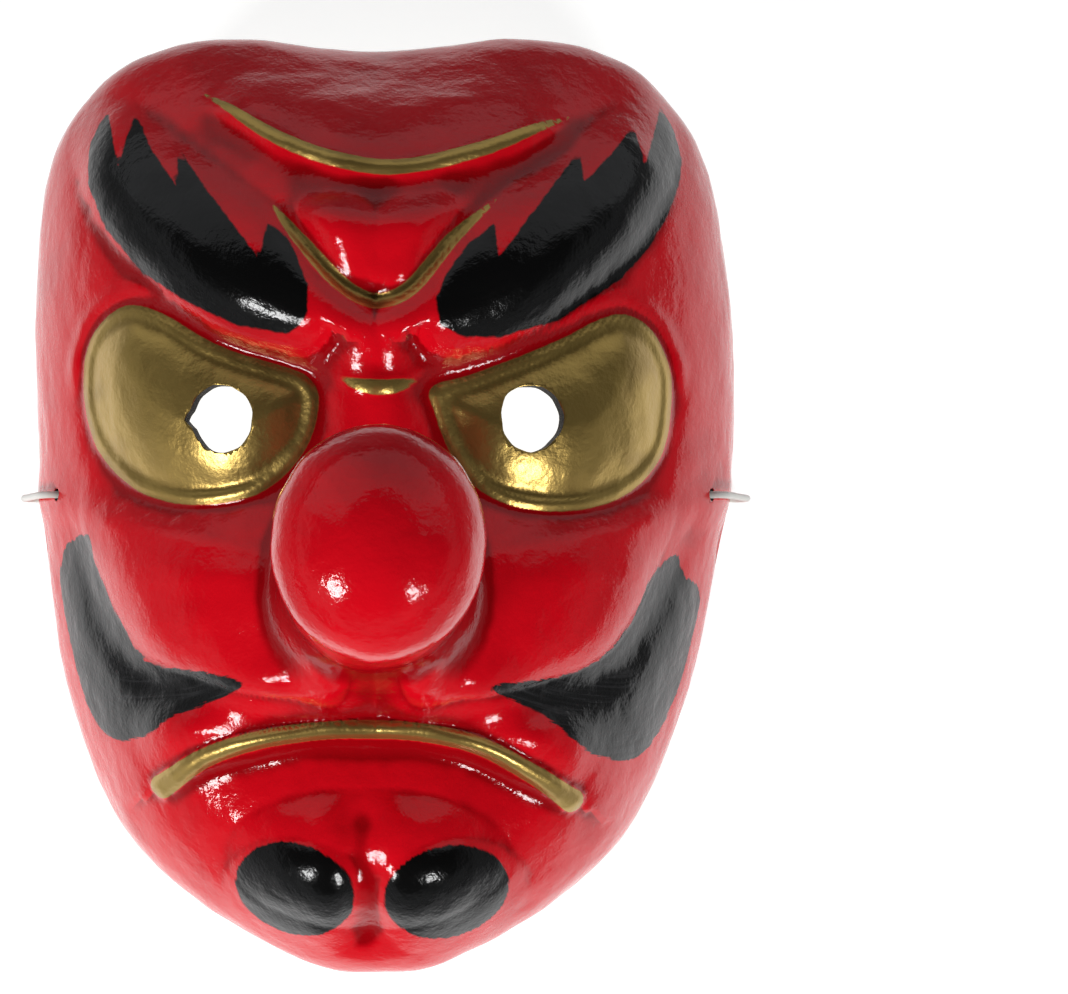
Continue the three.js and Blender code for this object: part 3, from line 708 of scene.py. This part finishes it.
paint_slots = [bpy.data.materials.new(name) for name in ("painted lacquer", "bare paper", "cut edge")]
for slot in paint_slots:
    mask.data.materials.append(slot)
for cutter in cutters:
    scene.collection.objects.link(cutter)
    for slot in paint_slots:
        cutter.data.materials.append(slot)
    cut = mask.modifiers.new("cut", "BOOLEAN")
    cut.operation, cut.solver, cut.object = "DIFFERENCE", "EXACT", cutter
whole = mask.evaluated_get(bpy.context.evaluated_depsgraph_get())
mask.data = bpy.data.meshes.new_from_object(whole)
mask.modifiers.clear()
for cutter in cutters:
    bpy.data.objects.remove(cutter)
print("faces after cutting:", len(mask.data.polygons))

# %% [markdown]
# ## Where the paint goes
#
# Brows, whiskers and spots were put on with a brush and have no thickness, so they are colour only. Each
# outline is stored as a signed distance in millimetres at every vertex: positive inside the paint,
# negative outside. A material can then cut a sharp edge anywhere between two vertices, and roughen it.

# %% Outlines of the paint
LEFT_BROW = [
    (-68.9, 95.5), (-66.7, 97.9), (-61.8, 80.7), (-58.9, 96.1), (-53.5, 84), (-46.4, 73.1),
    (-47.1, 84.3), (-39, 71.5), (-31, 60.5), (-26.3, 53.9), (-24.6, 62.9), (-20.5, 60),
    (-18.1, 55.7), (-15.2, 48), (-15, 41.4), (-17, 38.4), (-20, 37.1), (-31.4, 39.4), (-43.2, 45.3),
    (-55.9, 54.5), (-65.9, 66.6), (-70.9, 78.4), (-71.4, 89.1),
]
RIGHT_BROW = [
    (76, 96), (72.3, 101.4), (65.2, 81.4), (63.1, 92.5), (56.5, 83), (49.1, 74.6), (48.7, 83.8),
    (39, 69.5), (28.3, 54.5), (27.4, 62.7), (21.5, 58), (16.5, 51), (13.6, 44), (14.7, 38.4),
    (20, 36.4), (28.7, 37), (43.5, 42.2), (59, 53.3), (67.5, 63), (72.8, 71.9), (77, 82),
    (77.9, 88),
]
LEFT_WHISKER = [
    (-74.1, -7.3), (-72.8, -14.9), (-66.9, -25.8), (-60.6, -36.1), (-55.2, -40.1), (-45.6, -40.6),
    (-31.2, -43.4), (-42.6, -49.5), (-51, -53.1), (-56.4, -57.4), (-65.5, -60), (-73.2, -58.1),
    (-79.6, -48.8), (-84.4, -32.4), (-87, -19.7), (-85.6, -13.1), (-83, -9.2),
]
RIGHT_WHISKER = [
    (78.5, -12.3), (70.8, -17.8), (67.1, -24.5), (62.5, -32.2), (54, -39.6), (43, -42.7),
    (27.4, -44), (35.3, -48.9), (42.7, -53.1), (49.1, -58.6), (54.6, -62.3), (64.2, -65.5),
    (70.3, -64.6), (78, -56.7), (83.9, -44.4), (87.6, -30.4), (88.4, -21.6), (82.4, -17.7),
]
SPOTS = [(-20, -94.7, 15, 13), (17.6, -95.3, 15.5, 13)]
FAR = 8.0


def inside_depth(x, y, outline):
    """Signed distance to a closed outline, positive inside, and never below minus FAR."""
    outline = np.array(outline, dtype=float)
    depth = np.full(x.shape, -FAR)
    low, high = outline.min(axis=0) - FAR, outline.max(axis=0) + FAR
    close = (x > low[0]) & (x < high[0]) & (y > low[1]) & (y < high[1])
    px, py = x[close], y[close]
    d, _, _ = nearest(px, py, outline, True)
    odd = np.zeros(px.shape, dtype=bool)
    for (ax, ay), (bx, by) in zip(outline, np.roll(outline, -1, axis=0)):
        crosses = (ay > py) != (by > py)
        odd ^= crosses & (px < ax + (bx - ax) * (py - ay) / (by - ay + 1e-12))
    depth[close] = np.maximum(np.where(odd, d, -d), -FAR)
    return depth


def line_depth(x, y, line, middle, end):
    """Signed distance to a brushed line that is middle wide half way and end wide at its ends."""
    d, _, t = nearest(x, y, line)
    return np.maximum(0.5 * (middle + (end - middle) * (2 * t - 1) ** 4) - d, -FAR)


spot = places(mask.data)
px, py, pz = spot[:, 0] - AXIS[0], spot[:, 1] - AXIS[1], spot[:, 2]
on_face = pz < NOSE_ROOT
brows = np.maximum(inside_depth(px, py, LEFT_BROW), inside_depth(px, py, RIGHT_BROW))
left_whisker, right_whisker = (smooth_line(edge, 5, True) for edge in (LEFT_WHISKER, RIGHT_WHISKER))
whiskers = np.maximum(inside_depth(px, py, left_whisker), inside_depth(px, py, right_whisker))
spots = np.max([ry * (1 - np.hypot((px - cx) / rx, (py - cy) / ry)) for cx, cy, rx, ry in SPOTS], axis=0)
dash = 1.7 - np.hypot((py - 25 - 0.03 * (px - 1) ** 2), (px - 1) * 1.7 / 8.4)
gold = np.max([
    eye_depth(px, py) + 1.5,
    line_depth(px, py, FOREHEAD_LINE, 3.7, 0.3),
    line_depth(px, py, FROWN_LINE, 3.8, 0.3),
    line_depth(px, py, MOUTH_LINE, 4.5, 6.2),
    dash,
], axis=0)
store(mask.data, "gold", np.where(on_face, np.maximum(gold, -FAR), -FAR))
store(mask.data, "brow", np.where(on_face, brows, -FAR))
store(mask.data, "whisker", np.where(on_face, whiskers, -FAR))
store(mask.data, "spot", np.where(on_face, np.maximum(spots, -FAR), -FAR))
store(mask.data, "height", pz)
inked = np.maximum(brows, whiskers) > 0
print("painted points:", {"gold": int((gold > 0).sum()), "black": int(inked.sum())})

# %% [markdown]
# Two more things about the surface help the paint. The black was brushed along the brows and the
# whiskers, so every point keeps how far along and across such a stroke it lies. Hollows get painted
# shade, so every point also keeps how hollow the surface is there, measured by smoothing a copy.

# %% Brush strokes and creases
WHISKER_STROKE = smooth_line([(84, -6), (80, -30), (70, -50), (48, -50), (30, -44)], 8)
BROWS_ABOVE, CHIN_BELOW = 25.0, -68.0
SIDE_SHIFT = 7.0
CREASE_ROUNDS = 12


def stroke_coordinates(x, y):
    """For every point, how far along and how far across the brush stroke it lies, in millimetres."""
    ax = np.abs(x)
    d, side, t = nearest(ax, y, BROW_LINE)
    brow = np.stack([t * 85, d * side, 0 * d], axis=1)
    d, side, t = nearest(ax, y, WHISKER_STROKE)
    cheek = np.stack([t * 80, d * side, 40 + 0 * d], axis=1)
    chin = np.stack([0.5 * x - 0.87 * y, 0.87 * x + 0.5 * y, 90 + 0 * x], axis=1)
    lower = np.where((y > CHIN_BELOW)[:, None], cheek, chin)
    return np.where((y > BROWS_ABOVE)[:, None], brow, lower) + np.sign(x)[:, None] * SIDE_SHIFT


def creases(mesh, rounds):
    """How hollow the surface is at every vertex: the way to the middle of its neighbours, smoothed."""
    count = len(mesh.vertices)
    ends = np.empty(len(mesh.edges) * 2, dtype=np.int32)
    mesh.edges.foreach_get("vertices", ends)
    a, b = ends.reshape(-1, 2).T
    degree = np.bincount(a, minlength=count) + np.bincount(b, minlength=count)

    def spread(values):
        return (np.bincount(a, values[b], count) + np.bincount(b, values[a], count)) / degree

    point = places(mesh)
    smooth = point.copy()
    for _ in range(rounds):
        smooth = np.stack([spread(smooth[:, axis]) for axis in range(3)], axis=1)
    normals = np.empty(count * 3, dtype=np.float32)
    mesh.vertex_normals.foreach_get("vector", normals)
    return np.sum((smooth - point) * normals.reshape(-1, 3), axis=1)


store(mask.data, "stroke", stroke_coordinates(px, py))
hollows = creases(mask.data, CREASE_ROUNDS)
store(mask.data, "crease", hollows)
print("crease depth up to", round(float(np.abs(hollows).max()), 2), "mm")

# %% [markdown]
# ## Painted lacquer
#
# One material paints the whole outside. Red lies underneath, deeper in random blotches, and painted
# darker in the creases as shade. Black and gold come on top where their signed distance is positive.
# Gold is a metallic paint, so it alone is metallic; it is darker in worn blotches and, as painted shade,
# in the creases. A fine bump gives the small dimples of brushed lacquer.

# %% Painted lacquer
RED, DEEP_RED = (0.72, 0.003, 0.011, 1), (0.33, 0.001, 0.004, 1)
BLACK, CHARCOAL = (0.004, 0.004, 0.004, 1), (0.022, 0.022, 0.023, 1)
GOLD, DARK_GOLD = (0.46, 0.315, 0.09, 1), (0.17, 0.105, 0.025, 1)
PAPER = (0.68, 0.65, 0.58, 1)


def painted_lacquer(material):
    """Red, black and gold, each cut out by its stored distance."""
    graph = Graph(material.name, material)
    here = graph.add("TexCoord").outputs["Object"]
    stroke = graph.attribute("stroke").outputs["Vector"]
    long_stroke = graph.add("VectorMath", {"operation": "MULTIPLY"})
    graph.wire(long_stroke, "0", stroke)
    graph.wire(long_stroke, "1", (0.03, 0.55, 0.2))
    bristles = graph.noise(long_stroke.outputs[0], 1.6, 3.0, 0.6)
    wobble = graph.noise(here, 420.0, 2.0)
    blotch = graph.noise(here, 55.0, 3.0)

    # The red is painted darker in creases and hollows as shade, and deeper in random blotches.
    crease_shade_and_blotch = graph.ramp(graph.attribute("crease").outputs["Fac"], 0.02, 0.5)
    crease_shade_and_blotch = graph.math("ADD", crease_shade_and_blotch, graph.math("MULTIPLY", graph.ramp(blotch, 0.45, 0.75), 0.22), True)
    red = graph.mix(crease_shade_and_blotch, RED, DEEP_RED)
    low_edge = graph.ramp(graph.attribute("height").outputs["Fac"], 5.5, 2.0)
    chipped = graph.math("MULTIPLY", graph.ramp(graph.noise(here, 70.0, 4.0), 0.57, 0.60), low_edge)
    red = graph.mix(chipped, red, PAPER)

    ragged = graph.math("MULTIPLY", graph.math("SUBTRACT", bristles, 0.46), 2.6)
    fine = graph.math("MULTIPLY", graph.math("SUBTRACT", wobble, 0.5), 0.9)
    brow = graph.math("ADD", graph.attribute("brow").outputs["Fac"], fine)
    whisker = graph.math("ADD", graph.attribute("whisker").outputs["Fac"], graph.math("ADD", ragged, fine))
    less_ragged = graph.math("MULTIPLY", ragged, 0.6)
    spot_edge = graph.math("ADD", graph.attribute("spot").outputs["Fac"], less_ragged)
    patch = graph.math("MAXIMUM", brow, graph.math("MAXIMUM", whisker, spot_edge))
    black = graph.ramp(patch, -0.25, 0.35)
    dry = graph.math("MULTIPLY", graph.ramp(bristles, 0.45, 0.72), graph.ramp(whisker, -1.0, 1.0))
    ink = graph.mix(dry, BLACK, CHARCOAL)

    gold_edge = graph.math("ADD", graph.attribute("gold").outputs["Fac"], graph.math("MULTIPLY", fine, 0.4))
    gild = graph.ramp(gold_edge, -0.2, 0.2)
    # Gold is darker in worn blotches, and painted darker in creases as shade.
    wear_and_crease_shade = graph.math("ADD", graph.ramp(blotch, 0.5, 0.8), crease_shade_and_blotch, True)
    leaf = graph.mix(graph.math("MULTIPLY", wear_and_crease_shade, 0.45), GOLD, DARK_GOLD)

    colour = graph.mix(gild, graph.mix(black, red, ink), leaf)
    graph.wire(graph.shader, "Base Color", colour)
    graph.wire(graph.shader, "Specular IOR Level", 0.30)
    graph.wire(graph.shader, "Metallic", graph.math("MULTIPLY", gild, 0.78))
    smear = graph.blend(graph.noise(here, 140.0, 3.0), 0.07, 0.15)
    rough = graph.blend(black, smear, graph.blend(bristles, 0.10, 0.20))
    graph.wire(graph.shader, "Roughness", graph.blend(gild, rough, 0.32))
    dimples = graph.bump(graph.noise(here, 330.0, 3.0), 1.0, 0.00016)
    brushed = graph.bump(bristles, graph.math("MULTIPLY", black, 0.4), 0.00015, dimples)
    graph.wire(graph.shader, "Normal", graph.bump(graph.noise(here, 1100.0, 2.0), 1.0, 0.00006, brushed))
    return graph.material


painted_lacquer(paint_slots[0])
print("outside: red, black and gold")

# %% [markdown]
# ## Bare paper
#
# Nobody sees the inside when the mask is worn, so it stays unpainted: torn strips of pale paper laid over
# each other, a little grey with paste, with red that has run over the rim. The cut walls of the holes are
# coloured nearly black.

# %% Bare paper and cut edges
GREY_PAPER, PASTE, RED_RUN = (0.52, 0.50, 0.45, 1), (0.40, 0.37, 0.31, 1), (0.42, 0.02, 0.02, 1)
CUT_DARK, CUT_BROWN = (0.012, 0.009, 0.007, 1), (0.06, 0.045, 0.03, 1)
STRIPS_PER_METRE = 34.0


def bare_paper(material):
    """Torn strips of paper under paste, with red over the rim."""
    graph = Graph(material.name, material)
    here = graph.add("TexCoord").outputs["Object"]
    bent = graph.add("VectorMath", {"operation": "ADD"})
    drift = graph.add("TexNoise", Vector=here, Scale=40.0, Detail=3.0)
    shift = graph.add("VectorMath", {"operation": "SCALE"}, Scale=0.012)
    graph.wire(shift, "0", drift.outputs["Color"])
    graph.wire(bent, "0", here)
    graph.wire(bent, "1", shift.outputs[0])
    strips = graph.add("TexVoronoi", Vector=bent.outputs[0], Scale=STRIPS_PER_METRE)
    edges = graph.add(
        "TexVoronoi", {"feature": "DISTANCE_TO_EDGE"}, Vector=bent.outputs[0], Scale=STRIPS_PER_METRE)
    tone = graph.add("SeparateColor")
    graph.wire(tone, "Color", strips.outputs["Color"])
    sheet = graph.mix(tone.outputs[0], PAPER, GREY_PAPER)
    torn = graph.ramp(edges.outputs["Distance"], 0.0, 0.05)
    fibre = graph.noise(here, 900.0, 4.0, 0.65)
    seam = graph.math("MULTIPLY", graph.math("SUBTRACT", 1.0, torn), 0.35)
    sheet = graph.mix(seam, sheet, PASTE)
    ragged = graph.math("MULTIPLY", graph.noise(here, 90.0, 3.0), 9.0)
    stain = graph.math("ADD", graph.attribute("height").outputs["Fac"], ragged)
    red_run = graph.math("MULTIPLY", graph.ramp(stain, 8.5, 4.5), 0.75)
    graph.wire(graph.shader, "Base Color", graph.mix(red_run, sheet, RED_RUN))
    graph.wire(graph.shader, "Roughness", 0.85)
    raised = graph.bump(graph.math("ADD", torn, tone.outputs[1]), 0.5, 0.0004)
    graph.wire(graph.shader, "Normal", graph.bump(fibre, 0.6, 0.00012, raised))


def cut_edge(material):
    """Dark fibres where the holes were punched."""
    graph = Graph(material.name, material)
    here = graph.add("TexCoord").outputs["Object"]
    fibre = graph.noise(here, 800.0, 4.0)
    colour = graph.mix(graph.ramp(fibre, 0.5, 0.8), CUT_DARK, CUT_BROWN)
    graph.wire(graph.shader, "Base Color", colour)
    graph.wire(graph.shader, "Roughness", 0.7)
    graph.wire(graph.shader, "Normal", graph.bump(fibre, 0.8, 0.0003))


bare_paper(paint_slots[1])
cut_edge(paint_slots[2])
print("inside: bare paper")

# %% [markdown]
# ## Floor and light
#
# The mask lies on a pale floor that is painted brighter and made to glow near the mask, a painted pool
# of light. A glossy red shows mostly what it mirrors, so the light matters as much as the paint: the
# glowing floor gives the pale sheen on the steep sides, a dark zenith keeps the red deep where the face
# looks up, a dim wall past the crown gives the dusky sheen on the forehead, and two soft boxes low past
# the chin put the highlights on nose, lip and brows.

# %% Floor
FLOOR_HALF = 3.0
# Painted pool of light: the floor is painted brighter and glows within these distances of the mask.
BRIGHT_MIDDLE, BRIGHT_TO, DIM_FROM = (0.04, 0.0, 0.0), 0.20, 0.32
DIM_FLOOR, BRIGHT_FLOOR = (0.40, 0.40, 0.41, 1), (0.66, 0.66, 0.66, 1)
FLOOR_GLOW = 0.78

floor_shape = bmesh.new()
bmesh.ops.create_grid(floor_shape, x_segments=1, y_segments=1, size=FLOOR_HALF)
floor_mesh = bpy.data.meshes.new("floor")
floor_shape.to_mesh(floor_mesh)
floor_shape.free()
floor = bpy.data.objects.new("floor", floor_mesh)
scene.collection.objects.link(floor)
floor_paint = Graph("pale floor")
here = floor_paint.add("TexCoord").outputs["Object"]
away = floor_paint.add("VectorMath", {"operation": "DISTANCE"})
floor_paint.wire(away, "0", here)
floor_paint.wire(away, "1", BRIGHT_MIDDLE)
# Near the mask the floor is painted brighter and made to glow: a painted pool of light, though no lamp.
near = floor_paint.ramp(away.outputs["Value"], DIM_FROM, BRIGHT_TO)
floor_colour = floor_paint.mix(near, DIM_FLOOR, BRIGHT_FLOOR)
floor_paint.wire(floor_paint.shader, "Base Color", floor_colour)
floor_paint.wire(floor_paint.shader, "Roughness", 0.9)
floor_paint.wire(floor_paint.shader, "Emission Color", (1, 1, 1, 1))
floor_paint.wire(
    floor_paint.shader, "Emission Strength", floor_paint.math("MULTIPLY", near, FLOOR_GLOW))
floor_mesh.materials.append(floor_paint.material)
print("floor is", 2 * FLOOR_HALF, "m wide")

# %% [markdown]
# The two soft boxes are area lights aimed at the ball of the nose: the places of its two highlights
# tell from which side they shine. Everything else is the world and the glowing floor. The world's
# strength depends on the direction alone: a low band all round, somewhat brighter on the left, the wall
# past the crown, and near darkness overhead.

# %% Light
SOFT_BOXES = [((-0.70, -0.55, 0.46), 0.22, 5.6), ((0.55, -0.68, 0.48), 0.20, 4.2)]
NOSE_BALL_PLACE = Vector((0, -0.012, 0.15))
BOX_DISTANCE = 0.9
CROWN_WALL, OVERHEAD = 0.58, 0.02

for index, (direction, width, power) in enumerate(SOFT_BOXES):
    box = bpy.data.lights.new(f"soft box {index}", "AREA")
    box.size = width
    box.energy = power
    lamp = bpy.data.objects.new(f"soft box {index}", box)
    lamp.location = NOSE_BALL_PLACE + BOX_DISTANCE * Vector(direction)
    lamp.rotation_euler = (NOSE_BALL_PLACE - lamp.location).to_track_quat("-Z", "Y").to_euler()
    scene.collection.objects.link(lamp)

world = bpy.data.worlds.new("studio")
scene.world = world
world.use_nodes = True
sky = Graph("studio", world)
parts = sky.add("SeparateXYZ")
sky.wire(parts, "Vector", sky.add("TexCoord").outputs["Generated"])
low = sky.ramp(parts.outputs["Z"], 0.38, 0.04)
past_crown = sky.ramp(parts.outputs["Y"], 0.30, 0.45)
below_top = sky.ramp(parts.outputs["Z"], 0.70, 0.66)
crown_wall = sky.math("MULTIPLY", past_crown, below_top)
around = sky.blend(sky.ramp(parts.outputs["Y"], -0.6, 0.5), 0.34, 0.30)
lopsided = sky.blend(sky.ramp(parts.outputs["X"], -0.8, 0.8), 1.15, 0.75)
glow = sky.math("MULTIPLY", low, sky.math("MULTIPLY", around, lopsided))
glow = sky.math("MAXIMUM", glow, sky.math("MULTIPLY", crown_wall, CROWN_WALL))
sky.wire(sky.shader, "Strength", sky.math("ADD", glow, OVERHEAD))
sky.wire(sky.shader, "Color", (0.95, 0.97, 1.0, 1))
scene.view_settings.view_transform = "Standard"
print("soft boxes:", len(SOFT_BOXES))
